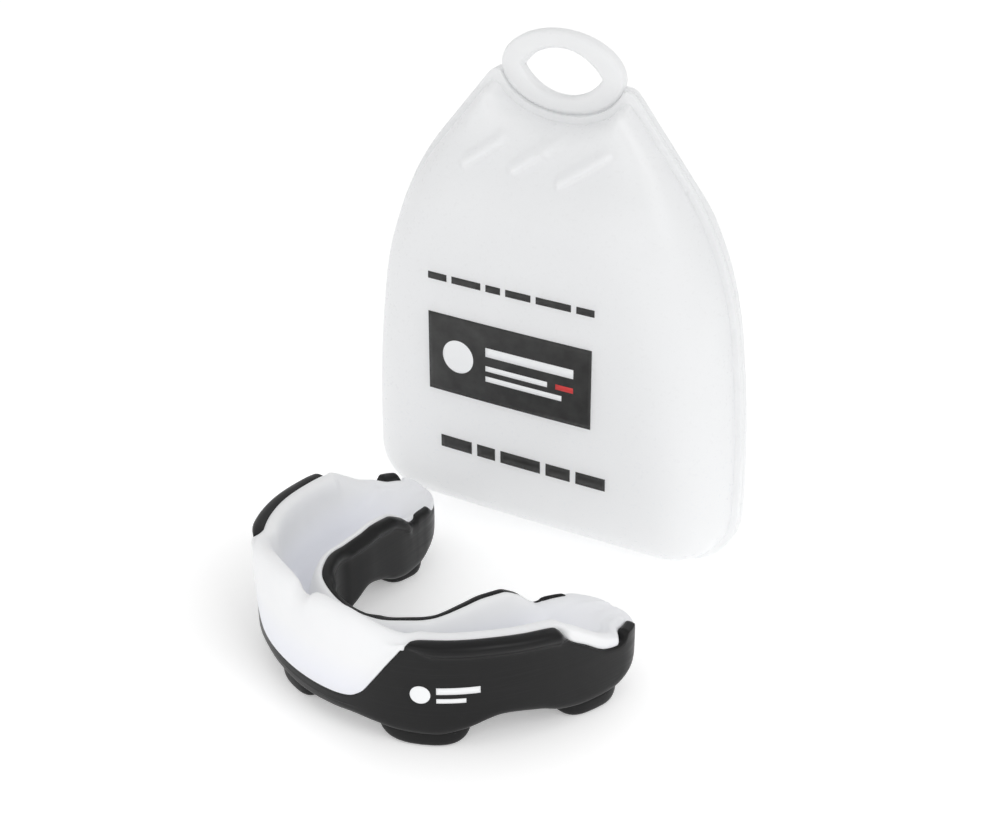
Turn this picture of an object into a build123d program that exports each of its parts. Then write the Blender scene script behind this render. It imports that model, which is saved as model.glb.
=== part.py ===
from build123d import *
import math
import os
from types import SimpleNamespace

# Boxing mouthguard with its clamshell carry case.
# +Z up, millimetres.  Origin: floor level, centre of the footprint of the set.
# The case stands upright with its front facing -Y; the guard lies in front of it.
# The geometry is laid out from the plane y = 0 where the two case shells meet,
# and SET_Y carries it to the origin on export.

os.makedirs("parts", exist_ok=True)

SET_Y = 30.09             # parting plane behind the centre of the footprint

# ----------------------------------------------------------- case dimensions
CASE_HALF_W = 36.2        # widest half width, over the flange
CASE_BOTTOM = 0.9         # lower edge of both shells
NECK_TOP = 85.8           # shoulders of the neck
FLANGE_W = 1.2            # flange beyond the dome wall
FLANGE_T = 1.25           # from the parting plane to the flange's far face
PART_GAP = 0.05           # parting plane to each flange
WALL = 1.1                # moulded wall
FRONT_DEPTH = 13.0        # front dome beyond the parting plane
BACK_DEPTH = 12.0
FRONT_ROUND = 8.0         # rounding of the front dome's edge
BACK_ROUND = 7.0
NECK_FRONT = 6.2          # depth of the neck in front
NECK_BACK = 5.2
NECK_ROUND = 2.4
NECK_CAVITY_TOP = 82.4    # the neck is solid above this height

RING_A, RING_B = 11.4, 7.0       # hanging ring, half axes in X and Z
RING_Z = 86.8
RING_T = 2.4
RING_CLEAR = 0.35                # around the ring, in the front shell
HOLE_W, HOLE_H = 15.0, 8.2       # almond hole
HOLE_Z = RING_Z - 0.1
TIP_X, TIP_Z = 0.55, 0.42        # where the rounding of the hole's points begins

LIP_T, LIP_H, LIP_CLEAR = 0.8, 1.6, 0.15   # locating lip of the back shell
LIP_ROOT = 1.2                   # lip's reach into the back shell

# Grip ribs: centre x, centre z, half length, slant in degrees
RIBS = [(-10.5, 71.2, 3.9, 40), (-1.2, 72.4, 4.3, 38), (8.6, 72.4, 4.6, 34)]
RIB_R = 1.15
RIB_END_ROUND = 1.0
RIB_Y = -NECK_FRONT - 0.3        # rib axis

# living hinge: a U-shaped strip, its two legs set into rebates in the flanges
HINGE_HALF = 19.0         # half length of the strip
WEB_T = 0.36
WEB_Y = 0.43              # centre-line of each leg from the parting plane
REBATE_H = 0.6
REBATE_Y = 0.66           # rebate depth from the parting plane
REBATE_END = 0.15         # rebate beyond each end of the strip
LEG_CLEAR = 0.02          # leg end to the rebate's roof
LOOP_LIFT = 0.01          # bottom of the loop above the floor

# ---------------------------------------------------------- guard dimensions
GUARD_TURN = math.radians(-20.0)          # its transverse axis against +X
GUARD_X, GUARD_Y = -8.8, -69.6            # middle of the arch's outer curve

# Right half of the arch's outer curve in the guard's own axes: x, distance back
PLAN = [(0, 0), (8.88, 0.82), (16.77, 3.61), (23.18, 8.2), (27.9, 14.8),
        (30.8, 22.1), (32.36, 29.5), (33.0, 36.1), (32.85, 40.6), (32.3, 45.3)]
GUARD_WALL = 2.1          # wall of the outer shell
GUARD_FLOOR = 2.0         # floor of the outer shell
BOND = 0.08               # bond line between liner and shell, and above each pad
STATIONS = 57             # loft sections along the arch
END_TRIM = 0.4            # last station to the end of the arch
TIP_START, TIP_LENGTH = 58.5, 6.5      # where the leg ends start to round off
TIP_OUTER, TIP_INNER = 3.4, 4.0        # narrowing at the tip, from each side

# Heights and widths along the arch: distance from its middle, value
TOP_OUT = [(0, 20.9), (6, 22.3), (14, 21.4), (22, 20.2), (34, 19.8), (46, 19.1),
           (52, 16.0), (57, 13.3), (61, 12.7), (66, 12.3)]        # outer rim
TOP_IN = [(0, 15.0), (12, 15.7), (26, 15.5), (38, 16.0), (45, 15.6), (52.5, 11.7),
          (57, 12.5), (66, 12.4)]                                 # inner rim
WIDTH = [(0, 10.6), (12, 11.2), (24, 14.2), (36, 16.4), (50, 17.0), (60, 16.0), (66, 15.4)]
BOTTOM = [(0, 2.6), (9, 3.2), (14, 3.2), (25, 2.3), (37, 5.2), (44, 4.0), (51, 2.7),
          (58, 3.1), (66, 6.0)]                                   # shell underside
SPLIT = [(0, 5.9), (9, 6.3), (13.5, 7.6), (22, 19.0), (40, 18.7), (46.5, 17.9),
         (48, 16.2), (57, 11.3), (66, 11.4)]                      # top of outer shell wall
TROUGH = [(0, 9.4), (20, 9.0), (40, 8.7), (52, 9.3), (66, 10.3)]  # liner's channel floor

# Shock pads: name, centre along the arch (+ towards +X), half length,
# outer and inner edge measured inwards from the outer curve
PADS = [("shock_pad_front_left", -4.3, 5.9, 1.2, 8.6),
        ("shock_pad_front_right", 23.6, 8.6, 0.9, 9.4),
        ("shock_pad_rear_left", -53.0, 7.4, 1.2, 13.2),
        ("shock_pad_rear_right", 53.0, 7.4, 1.2, 13.2)]
PAD_END_STEPS = 1.5       # stations over which a pad's ends narrow
PAD_END_NARROW = 1.6      # narrowing of each side at the ends


def save(shape, node):
    """Writes one node, carried to the origin."""
    export_step(shape.moved(Location((0, SET_Y, 0))), "parts/" + node + ".step")


def largest(shape):
    return max(shape.solids(), key=lambda solid: solid.volume)


# ------------------------------------------------------------ case: outlines
def direction(start, end):
    """Unit vector (x, z) from one outline corner to another."""
    dx, dz = end[0] - start[0], end[1] - start[1]
    length = math.hypot(dx, dz)
    return dx / length, dz / length


def corners(points):
    """Each corner with the one before and the one after it."""
    return zip(points[-1:] + points[:-1], points, points[1:] + points[:1])


def rounded(points):
    """Closed outline (x, z, corner radius), counter-clockwise, as a face at y = 0."""
    arcs = []
    for before, corner, after in corners(points):
        x, z, radius = corner
        ax, az = direction(corner, before)
        bx, bz = direction(corner, after)
        half_angle = math.acos(ax * bx + az * bz) / 2
        setback = radius / math.tan(half_angle)
        mid = (radius / math.sin(half_angle) - radius) / math.hypot(ax + bx, az + bz)
        arcs.append(((x + ax * setback, 0, z + az * setback),
                     (x + (ax + bx) * mid, 0, z + (az + bz) * mid),
                     (x + bx * setback, 0, z + bz * setback)))
    edges = []
    for arc, following in zip(arcs, arcs[1:] + arcs[:1]):
        edges.append(Edge.make_three_point_arc(*arc))
        edges.append(Edge.make_line(arc[2], following[0]))
    return Face(Wire(edges))


def both(half):
    """Right-hand corners from bottom to top, mirrored to a closed outline."""
    return half + [(-x, z, radius) for x, z, radius in reversed(half)]


def shrink(points, offset):
    """Corners of the outline moved inwards, corner radii kept concentric."""
    moved = []
    for before, corner, after in corners(points):
        x, z, radius = corner
        ax, az = direction(before, corner)
        bx, bz = direction(corner, after)
        scale = offset / (1 + ax * bx + az * bz)
        convex = ax * bz - az * bx > 0
        moved.append((x - (az + bz) * scale, z + (ax + bx) * scale,
                      max(0.3, radius - offset) if convex else radius + offset))
    return moved


# Outlines: corner x, corner z, corner radius
FLANGE = both([(CASE_HALF_W, CASE_BOTTOM, 11.5), (CASE_HALF_W, 30.0, 210.0),
               (33.3, 54.0, 52.0), (27.0, 68.0, 52.0), (12.9, NECK_TOP, 2.0)])
# main dome: the flange sides, rounded off under the neck; flush at the bottom
BODY_HALF_W = CASE_HALF_W - FLANGE_W
BODY = both([(BODY_HALF_W, CASE_BOTTOM, 10.3), (BODY_HALF_W, 30.0, 209.0),
             (32.1, 53.6, 51.0), (25.2, 69.0, 16.0), (13.0, 78.6, 15.0)])
SHOULDER_X, SHOULDER_Z, _ = shrink(FLANGE, FLANGE_W)[4]
NECK = both([(22.0, 58.0, 3.0), (25.6, 66.4, 3.0), (SHOULDER_X, SHOULDER_Z, 1.2)])


# -------------------------------------------------------- case: basic solids
def box(size, corner):
    return Solid.make_box(*size, Plane(origin=corner))


def prism(points, y0, y1):
    solid = Solid.extrude(rounded(points), Vector(0, y1 - y0, 0))
    return solid.moved(Location((0, y0, 0)))


def dome(points, depth, radius, sign):
    """Prism from the parting plane outwards with a rounded far edge."""
    solid = prism(points, 0, sign * depth)
    far_edges = [edge for edge in solid.edges()
                 if all(abs(point.Y - sign * depth) < 1e-3 for point in
                        (edge.center(), edge.position_at(0), edge.position_at(1)))]
    return solid.fillet(radius, far_edges)


def ring_disc(margin, y0, y1):
    """Elliptical disc of the hanging ring's outline, grown by a margin."""
    plane = Plane(origin=(0, y0, RING_Z), x_dir=(1, 0, 0), z_dir=(0, -1, 0))
    edge = Edge.make_ellipse(RING_A + margin, RING_B + margin, plane=plane)
    return Solid.extrude(Face(Wire([edge])), Vector(0, y1 - y0, 0))


def almond(y0, y1):
    """Lens-shaped prism with softened points left and right."""
    half_w, half_h = HOLE_W / 2, HOLE_H / 2
    tip = half_w - TIP_X
    outline = [  # top, right point, bottom, left point, as (x, z) from the centre
        ((-tip, TIP_Z), (0, half_h), (tip, TIP_Z)),
        ((tip, TIP_Z), (half_w, 0), (tip, -TIP_Z)),
        ((tip, -TIP_Z), (0, -half_h), (-tip, -TIP_Z)),
        ((-tip, -TIP_Z), (-half_w, 0), (-tip, TIP_Z)),
    ]
    edges = [Edge.make_three_point_arc(*[(x, y0, HOLE_Z + z) for x, z in arc])
             for arc in outline]
    return Solid.extrude(Face(Wire(edges)), Vector(0, y1 - y0, 0))


def hinge_rebate(y0):
    """Cutter for one flange's lower edge, open downwards."""
    half = HINGE_HALF + REBATE_END
    return box((2 * half, REBATE_Y, REBATE_H + 1), (-half, y0, CASE_BOTTOM - 1))


def case_half(sign, depth, neck_depth, radius):
    """Hollow half of the case, on the -Y (sign -1) or +Y side of the parting plane."""
    body = dome(BODY, depth, radius, sign)
    neck = dome(NECK, neck_depth, NECK_ROUND, sign)
    rim = prism(FLANGE, 0, sign * FLANGE_T)
    solid = largest(body.fuse(neck, rim))
    body_in = dome(shrink(BODY, WALL), depth - WALL, radius - WALL, sign)
    neck_in = dome(shrink(NECK, WALL), neck_depth - WALL, NECK_ROUND - WALL, sign)
    # the neck's cavity keeps a wall around the ring
    ring_stop = ring_disc(RING_CLEAR + WALL, -20, 20)
    neck_in = largest(neck_in.cut(ring_stop, box((80, 60, 40), (-40, -30, NECK_CAVITY_TOP))))
    solid = largest(solid.cut(body_in, neck_in))
    return largest(solid.cut(box((120, PART_GAP * 2, 140), (-60, -PART_GAP, -10))))


# --------------------------------------------------------------- case pieces
def case_front():
    front = case_half(-1, FRONT_DEPTH, NECK_FRONT, FRONT_ROUND)
    # the neck's top edge is scooped out around the hanging ring
    front = largest(front.cut(ring_disc(RING_CLEAR, -30, 5)))
    for x, z, half_len, slant in RIBS:
        angle = math.radians(slant)
        axis = Vector(math.cos(angle), 0, math.sin(angle))
        start = Vector(x, RIB_Y, z) - axis * half_len
        rib = Solid.make_cylinder(RIB_R, 2 * half_len, Plane(origin=start, z_dir=axis))
        rib = rib.fillet(RIB_END_ROUND, rib.edges().filter_by(GeomType.CIRCLE))
        front = largest(front.fuse(rib))
    return largest(front.cut(hinge_rebate(-REBATE_Y)))


def case_back():
    back = case_half(1, BACK_DEPTH, NECK_BACK, BACK_ROUND)
    # locating lip that stands into the front shell's mouth
    lip_inset = WALL + LIP_CLEAR
    lip = prism(shrink(BODY, lip_inset), -LIP_H, LIP_ROOT)
    lip = lip.cut(prism(shrink(BODY, lip_inset + LIP_T), -LIP_H - 1, 3))
    back = largest(back.fuse(largest(lip)))
    back = largest(back.fuse(ring_disc(0, -RING_T / 2, RING_T / 2)))
    back = largest(back.cut(almond(-6, 12)))
    return largest(back.cut(hinge_rebate(0)))


def hinge_web():
    """U-shaped strip, drawn in the YZ plane and extruded along X."""
    top = CASE_BOTTOM + REBATE_H - LEG_CLEAR
    outer, inner = WEB_Y + WEB_T / 2, WEB_Y - WEB_T / 2
    loop_z = outer + LOOP_LIFT
    line, arc = Edge.make_line, Edge.make_three_point_arc
    edges = [
        line((0, -outer, top), (0, -outer, loop_z)),
        arc((0, -outer, loop_z), (0, 0, loop_z - outer), (0, outer, loop_z)),
        line((0, outer, loop_z), (0, outer, top)),
        line((0, outer, top), (0, inner, top)),
        line((0, inner, top), (0, inner, loop_z)),
        arc((0, inner, loop_z), (0, 0, loop_z - inner), (0, -inner, loop_z)),
        line((0, -inner, loop_z), (0, -inner, top)),
        line((0, -inner, top), (0, -outer, top)),
    ]
    web = Solid.extrude(Face(Wire(edges)), Vector(2 * HINGE_HALF, 0, 0))
    return web.moved(Location((-HINGE_HALF, 0, 0)))


# ----------------------------------------------------------- guard: the arch
ARCH = Edge.make_spline([(x, y, 0) for x, y in
                         [(-x, y) for x, y in reversed(PLAN[1:])] + PLAN])
ARCH_LENGTH = ARCH.length
ARCH_END = ARCH_LENGTH / 2 - END_TRIM
# signed distances from the middle of the arch
stations = [-ARCH_END + 2 * ARCH_END * i / (STATIONS - 1) for i in range(STATIONS)]


def value_at(rows, s):
    """Table value at station s, eased smoothly between rows."""
    distance = abs(s)
    if distance <= rows[0][0]:
        return rows[0][1]
    for (start, value), (end, next_value) in zip(rows, rows[1:]):
        if distance <= end:
            t = (distance - start) / (end - start)
            return value + (next_value - value) * t * t * (3 - 2 * t)
    return rows[-1][1]


def world(s, inward, z):
    """Point at station s, a distance inwards from the arch's outer curve."""
    u = (s + ARCH_LENGTH / 2) / ARCH_LENGTH
    point, tangent = ARCH.position_at(u), ARCH.tangent_at(u)
    x, y = point.X - tangent.Y * inward, point.Y + tangent.X * inward
    cos, sin = math.cos(GUARD_TURN), math.sin(GUARD_TURN)
    return Vector(GUARD_X + x * cos - y * sin, GUARD_Y + x * sin + y * cos, z)


def loft_along(section, positions):
    """Ruled loft through section(s), a closed outline of (inward, z) points."""
    wires = []
    for s in positions:
        points = [world(s, inward, z) for inward, z in section(s)]
        wires.append(Wire(Polyline(*points, close=True).edges()))
    return Solid.make_loft(wires, ruled=True)


# ---------------------------------------------------- guard: cross-sections
def levels(s):
    """Heights and widths shared by the shell and liner sections at station s."""
    t = min(1.0, max(0.0, (abs(s) - TIP_START) / TIP_LENGTH))
    tip = 1 - math.sqrt(1 - t ** 2.4)
    top_out, top_in, bottom = (value_at(rows, s) for rows in (TOP_OUT, TOP_IN, BOTTOM))
    split = min(value_at(SPLIT, s), top_out - 0.9)
    floor = bottom + GUARD_FLOOR
    return SimpleNamespace(
        start=TIP_OUTER * tip,
        width=value_at(WIDTH, s) - (TIP_OUTER + TIP_INNER) * tip,
        top_out=top_out, top_in=top_in, bottom=bottom, split=split, floor=floor,
        chamfer=min(0.8, split - floor - 0.15),     # between wall and floor
        split_in=top_in - 1.3)      # the inner wall stops below the liner's rim


def shell_section(s):
    v = levels(s)
    left, right = GUARD_WALL, v.width - GUARD_WALL      # inside faces of the two walls
    points = [
        (0.9, v.bottom), (0.0, v.bottom + 1.6), (0.0, v.split), (left, v.split),
        (left, v.floor + v.chamfer), (left + v.chamfer, v.floor),
        (right - v.chamfer, v.floor), (right, v.floor + v.chamfer),
        (right, v.split_in), (v.width, v.split_in),
        (v.width, v.bottom + 1.6), (v.width - 0.9, v.bottom)]
    return [(v.start + inward, z) for inward, z in points]


def liner_section(s):
    v = levels(s)
    trough = value_at(TROUGH, s)
    left, right = GUARD_WALL + BOND, v.width - GUARD_WALL - BOND
    points = [
        # against the shell
        (left, v.split + BOND), (left, v.floor + v.chamfer),
        (left + v.chamfer, v.floor + BOND), (right - v.chamfer, v.floor + BOND),
        (right, v.floor + v.chamfer), (right, v.split_in + BOND),
        # inner rim
        (v.width - 0.2, v.split_in + BOND), (v.width - 0.3, v.top_in - 0.4),
        (v.width - 1.0, v.top_in), (v.width - 2.3, v.top_in - 0.4),
        # channel
        (v.width - 3.1, trough + 1.0), (v.width - 3.9, trough),
        (GUARD_WALL + 2.0, trough), (GUARD_WALL + 1.2, trough + 0.9),
        # outer rim
        (GUARD_WALL + 0.7, v.top_out - 1.4), (1.6, v.top_out), (0.7, v.top_out - 0.1),
        (0.1, v.top_out - 0.8), (0.0, v.split + BOND)]
    return [(v.start + inward, z) for inward, z in points]


def shock_pad(centre, half_len, outer, inner):
    """Pad under the shell: follows its underside, flat at floor level."""
    covered = [s for s in stations if abs(s - centre) < half_len]

    def section(s):
        i = covered.index(s)
        fullness = min(1.0, min(i, len(covered) - 1 - i) / PAD_END_STEPS)
        narrow = (1 - fullness) * PAD_END_NARROW
        a, b = outer + narrow, inner - narrow
        top = value_at(BOTTOM, s) - BOND
        return [(a, top), (a + 0.1, 0.9), (a + 0.9, 0.0), (a + 1.2, -0.3),
                (b - 1.2, -0.3), (b - 0.9, 0.0), (b - 0.1, 0.9), (b, top)]

    pad = loft_along(section, covered)
    # trim to the floor
    return largest(pad.cut(box((160, 160, 3), (-80, -140, -3))))


save(case_front(), "case_front_shell")
save(case_back(), "case_back_shell")
save(hinge_web(), "hinge_web")
save(loft_along(liner_section, stations), "guard_inner_liner")
save(loft_along(shell_section, stations), "guard_outer_shell")
for name, *placing in PADS:
    save(shock_pad(*placing), name)
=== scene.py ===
"""A mouthguard lying in front of its frosted clamshell case, on a pale floor.

Meshes are laid out in millimetres, z up, with y measured from the plane where the two
case halves meet. The case stands upright on its hinge strip with its front half on
the -y side and a hanging ring at the top. The mouthguard lies further towards -y, the
middle of its arch forwards and its legs running back towards the case.
"""
import bmesh
import bpy
import math
import numpy as np
from mathutils import Vector, Matrix
from mathutils.geometry import delaunay_2d_cdt


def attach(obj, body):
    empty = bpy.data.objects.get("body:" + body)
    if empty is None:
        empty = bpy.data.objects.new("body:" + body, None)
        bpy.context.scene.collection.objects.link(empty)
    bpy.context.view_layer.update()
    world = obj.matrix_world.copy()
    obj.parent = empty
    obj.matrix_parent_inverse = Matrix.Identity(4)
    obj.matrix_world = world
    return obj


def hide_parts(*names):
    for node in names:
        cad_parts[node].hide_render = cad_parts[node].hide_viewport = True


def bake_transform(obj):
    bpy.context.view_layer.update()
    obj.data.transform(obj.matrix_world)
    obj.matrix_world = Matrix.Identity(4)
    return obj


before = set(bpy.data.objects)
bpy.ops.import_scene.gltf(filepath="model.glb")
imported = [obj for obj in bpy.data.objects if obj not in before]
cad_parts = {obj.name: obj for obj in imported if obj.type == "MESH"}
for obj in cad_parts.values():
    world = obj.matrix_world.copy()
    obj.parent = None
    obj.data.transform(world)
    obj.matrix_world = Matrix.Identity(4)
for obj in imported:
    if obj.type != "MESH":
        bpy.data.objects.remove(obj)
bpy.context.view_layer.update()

MM = 0.001
PARTING_Y = 30.09      # plane where the case halves meet, behind the scene's origin, mm


# ------------------------------------------------------------------ curves
def ramp(start, end, x):
    """Smooth step from 0 at start to 1 at end."""
    t = np.clip((np.asarray(x, float) - start) / (end - start), 0, 1)
    return t * t * (3 - 2 * t)


def band(x, rise, fall):
    """1 between two smooth steps, each given as (start, end)."""
    return ramp(*rise, x) * (1 - ramp(*fall, x))


def unit(vector):
    return vector / np.linalg.norm(vector)


def run_length(points):
    """Distance travelled along a polyline at each of its points."""
    return np.r_[0, np.cumsum(np.hypot(*np.diff(points, axis=0).T))]


def monotone_curve(rows):
    """Monotone cubic interpolation through (x, value) rows."""
    xs, ys = np.array(rows, float).T
    gap = np.diff(xs)
    slope = np.diff(ys) / gap
    tangent = np.zeros_like(xs)
    for i in range(1, len(xs) - 1):
        if slope[i - 1] * slope[i] > 0:
            w1 = 2 * gap[i] + gap[i - 1]
            w2 = gap[i] + 2 * gap[i - 1]
            tangent[i] = (w1 + w2) / (w1 / slope[i - 1] + w2 / slope[i])
    # a table starting at 0 is mirrored there, so its tangent stays level
    if xs[0] != 0:
        tangent[0] = slope[0]
    tangent[-1] = slope[-1]

    def curve(x):
        x = np.clip(np.asarray(x, float), xs[0], xs[-1])
        k = np.clip(np.searchsorted(xs, x, side="right") - 1, 0, len(xs) - 2)
        t = (x - xs[k]) / gap[k]
        return ((2 * t**3 - 3 * t**2 + 1) * ys[k]
                + (t**3 - 2 * t**2 + t) * gap[k] * tangent[k]
                + (-2 * t**3 + 3 * t**2) * ys[k + 1]
                + (t**3 - t**2) * gap[k] * tangent[k + 1])
    return curve


def natural_spline(knots, points):
    """Natural cubic spline through points (n, 2) at the given knots."""
    n = len(knots)
    gap = np.diff(knots)
    matrix = np.zeros((n, n))
    right = np.zeros((n, points.shape[1]))
    matrix[0, 0] = matrix[-1, -1] = 1
    for i in range(1, n - 1):
        matrix[i, i - 1:i + 2] = gap[i - 1], 2 * (gap[i - 1] + gap[i]), gap[i]
        right[i] = 3 * ((points[i + 1] - points[i]) / gap[i]
                        - (points[i] - points[i - 1]) / gap[i - 1])
    square = np.linalg.solve(matrix, right)
    linear = ((points[1:] - points[:-1]) / gap[:, None]
              - gap[:, None] * (2 * square[:-1] + square[1:]) / 3)
    cubic = (square[1:] - square[:-1]) / (3 * gap[:, None])

    def curve(x):
        k = np.clip(np.searchsorted(knots, x, side="right") - 1, 0, n - 2)
        t = (x - knots[k])[:, None]
        return points[k] + linear[k] * t + square[k] * t**2 + cubic[k] * t**3
    return curve


def bspline_loop(control, count):
    """Closed uniform cubic B-spline through a control loop; (k, 2) -> (count, 2)."""
    k = len(control)
    t = np.arange(count) * k / count
    i = np.floor(t).astype(int)
    f = (t - i)[:, None]
    p0, p1, p2, p3 = (control[(i + step) % k] for step in (-1, 0, 1, 2))
    return ((1 - f) ** 3 * p0 + (3 * f**3 - 6 * f**2 + 4) * p1
            + (-3 * f**3 + 3 * f**2 + 3 * f + 1) * p2 + f**3 * p3) / 6


# ------------------------------------------------------------------ meshes
def mesh_object(name, points, faces, uvs=None, smooth_shade=True):
    """Object from points in mm measured from the parting plane."""
    mesh = bpy.data.meshes.new(name)
    mesh.from_pydata([(x * MM, (y + PARTING_Y) * MM, z * MM) for x, y, z in points], [], faces)
    mesh.update()
    piece = bpy.data.objects.new(name, mesh)
    bpy.context.scene.collection.objects.link(piece)
    if uvs is not None:
        layer = mesh.uv_layers.new(name="UVMap")
        corners = np.zeros(len(mesh.loops), int)
        mesh.loops.foreach_get("vertex_index", corners)
        layer.data.foreach_set("uv", np.asarray(uvs, np.float32)[corners].ravel())
    if smooth_shade:
        mesh.polygons.foreach_set("use_smooth", [True] * len(mesh.polygons))
    return piece


def fix_normals(piece, weld=None):
    """Turn all faces outwards, first welding points closer than weld (metres)."""
    bm = bmesh.new()
    bm.from_mesh(piece.data)
    if weld is not None:
        bmesh.ops.remove_doubles(bm, verts=bm.verts, dist=weld)
    bmesh.ops.recalc_face_normals(bm, faces=bm.faces)
    bm.to_mesh(piece.data)
    bm.free()
    piece.data.update()


def row_faces(row_count, size, closed=False):
    """Quads joining successive rows, each a closed loop of size points."""
    quads = []
    for i in range(row_count if closed else row_count - 1):
        here = i * size
        there = (i + 1) % row_count * size
        for j in range(size):
            k = (j + 1) % size
            quads.append((here + j, here + k, there + k, there + j))
    return quads


def loft(name, rows, uvs=None, closed=False):
    """Skin over closed rows of points: capped at both ends, or joined last to first."""
    count, size = len(rows), len(rows[0])
    faces = row_faces(count, size, closed)
    if not closed:
        faces.append(tuple(range(size)))
        faces.append(tuple(reversed(range((count - 1) * size, count * size))))
    piece = mesh_object(name, np.concatenate(rows), faces, uvs)
    fix_normals(piece)
    return piece


# ------------------------------------------------------------ mouthguard frame
GUARD_TURN = math.radians(-20.0)      # about z
GUARD_X, GUARD_Y = -8.8, -69.6        # outside of the arch at its middle
# Outside of the arch in plan, from its middle to one leg end: (across, back)
ARCH_HALF = np.array([
    (0, 0), (8.88, 0.82), (16.77, 3.61), (23.18, 8.2), (27.9, 14.8),
    (30.8, 22.1), (32.36, 29.5), (33.0, 36.1), (32.85, 40.6), (32.3, 45.3)], float)
ARCH_SAMPLES = 6001

arch_knots = np.vstack([ARCH_HALF[:0:-1] * [-1, 1], ARCH_HALF])
knot_run = run_length(arch_knots)
ARCH = natural_spline(knot_run, arch_knots)(np.linspace(0, knot_run[-1], ARCH_SAMPLES))
ARCH_RUN = run_length(ARCH)
ARCH_TANGENT = np.gradient(ARCH, ARCH_RUN, axis=0)
ARCH_TANGENT /= np.linalg.norm(ARCH_TANGENT, axis=1, keepdims=True)


def on_arch(s, inward, z):
    """Arch coordinates (distance along the outside from its middle, inward distance,
    height) to points; beyond the curve's ends they carry on straight."""
    s, inward, z = np.broadcast_arrays(*(np.asarray(q, float) for q in (s, inward, z)))
    from_start = s + ARCH_RUN[-1] / 2
    along = np.clip(from_start, 0, ARCH_RUN[-1])
    beyond = from_start - along
    x, y = (np.interp(along, ARCH_RUN, ARCH[:, k]) for k in (0, 1))
    tangent_x, tangent_y = (np.interp(along, ARCH_RUN, ARCH_TANGENT[:, k]) for k in (0, 1))
    x = x - tangent_y * inward + tangent_x * beyond
    y = y + tangent_x * inward + tangent_y * beyond
    cos, sin = math.cos(GUARD_TURN), math.sin(GUARD_TURN)
    return np.stack([GUARD_X + x * cos - y * sin, GUARD_Y + x * sin + y * cos, z], -1)


# Sizes along the arch: (distance from the middle, value), the same on both sides
LEG_END = 65.0
RIM_TOP = monotone_curve([
    (0, 20.2), (1.5, 20.5), (2.9, 21.8), (6, 22.3), (10, 22.2), (15, 21.2), (20, 20.3),
    (26, 20.0), (33, 19.9), (40, 19.5), (46, 19.1), (49, 17.9), (52, 16.0), (55.5, 13.9),
    (58.5, 12.9), (61, 12.7), (65, 12.3)])
COLOUR_SPLIT = monotone_curve([       # black below, white above, on the outside
    (0, 6.3), (8, 6.7), (11.5, 7.3), (13.8, 8.7), (15.8, 11.3), (18.3, 14.9), (20.2, 17.5),
    (21.2, 18.9), (22.2, 19.5), (25, 19.7), (32.7, 19.6), (41, 19.1), (45.6, 18.7),
    (46.6, 18.0), (47.2, 16.9), (48.5, 15.7), (51, 14.2), (55.4, 11.6), (57.8, 11.2),
    (59.2, 11.5), (60.2, 12.6), (65, 12.6)])
UNDERSIDE = monotone_curve([
    (0, 2.5), (8, 3.0), (12, 3.3), (16, 3.0), (20, 2.5), (26, 2.3), (30, 3.1), (37, 5.2),
    (43, 4.4), (47, 3.1), (51, 2.6), (57, 2.9), (61, 4.4), (65, 6.6)])
INNER_LIP = monotone_curve([
    (0, 15.0), (8, 15.4), (16, 15.9), (26, 15.8), (34, 16.2), (40, 16.7), (45, 16.6),
    (48.5, 15.4), (51.6, 13.4), (53.4, 12.7), (55.0, 12.8), (57, 13.0), (60.5, 12.9),
    (65, 12.4)])
ARCH_WIDTH = monotone_curve([
    (0, 10.4), (10, 10.9), (18, 12.8), (28, 15.6), (38, 17.4), (48, 17.9), (55, 17.2),
    (61, 16.0), (65, 15.4)])
TROUGH = monotone_curve([
    (0, 9.4), (14, 9.2), (30, 8.7), (46, 8.9), (53, 10.2), (58, 11.7), (61, 12.15),
    (63.5, 12.35), (65, 12.25)])

ROUNDING_START = 58.5                 # where the leg ends begin to round off
ROUNDING_POWER = 2.4
OUTER_PULL, INNER_PULL = 5.2, 6.2     # how far each edge has moved in at the leg end


def round_leg(section, s):
    """Control loop drawn at full width, narrowed towards the rounded leg end."""
    away = abs(s)
    width = ARCH_WIDTH(away)
    t = np.clip((away - ROUNDING_START) / (LEG_END - ROUNDING_START), 0, 1)
    pull = 1 - np.sqrt(np.clip(1 - t**ROUNDING_POWER, 0, 1))
    outer = OUTER_PULL * pull
    inner = width - INNER_PULL * pull
    section = np.array(section)
    section[:, 0] = outer + section[:, 0] * (inner - outer) / width
    return section


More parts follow.
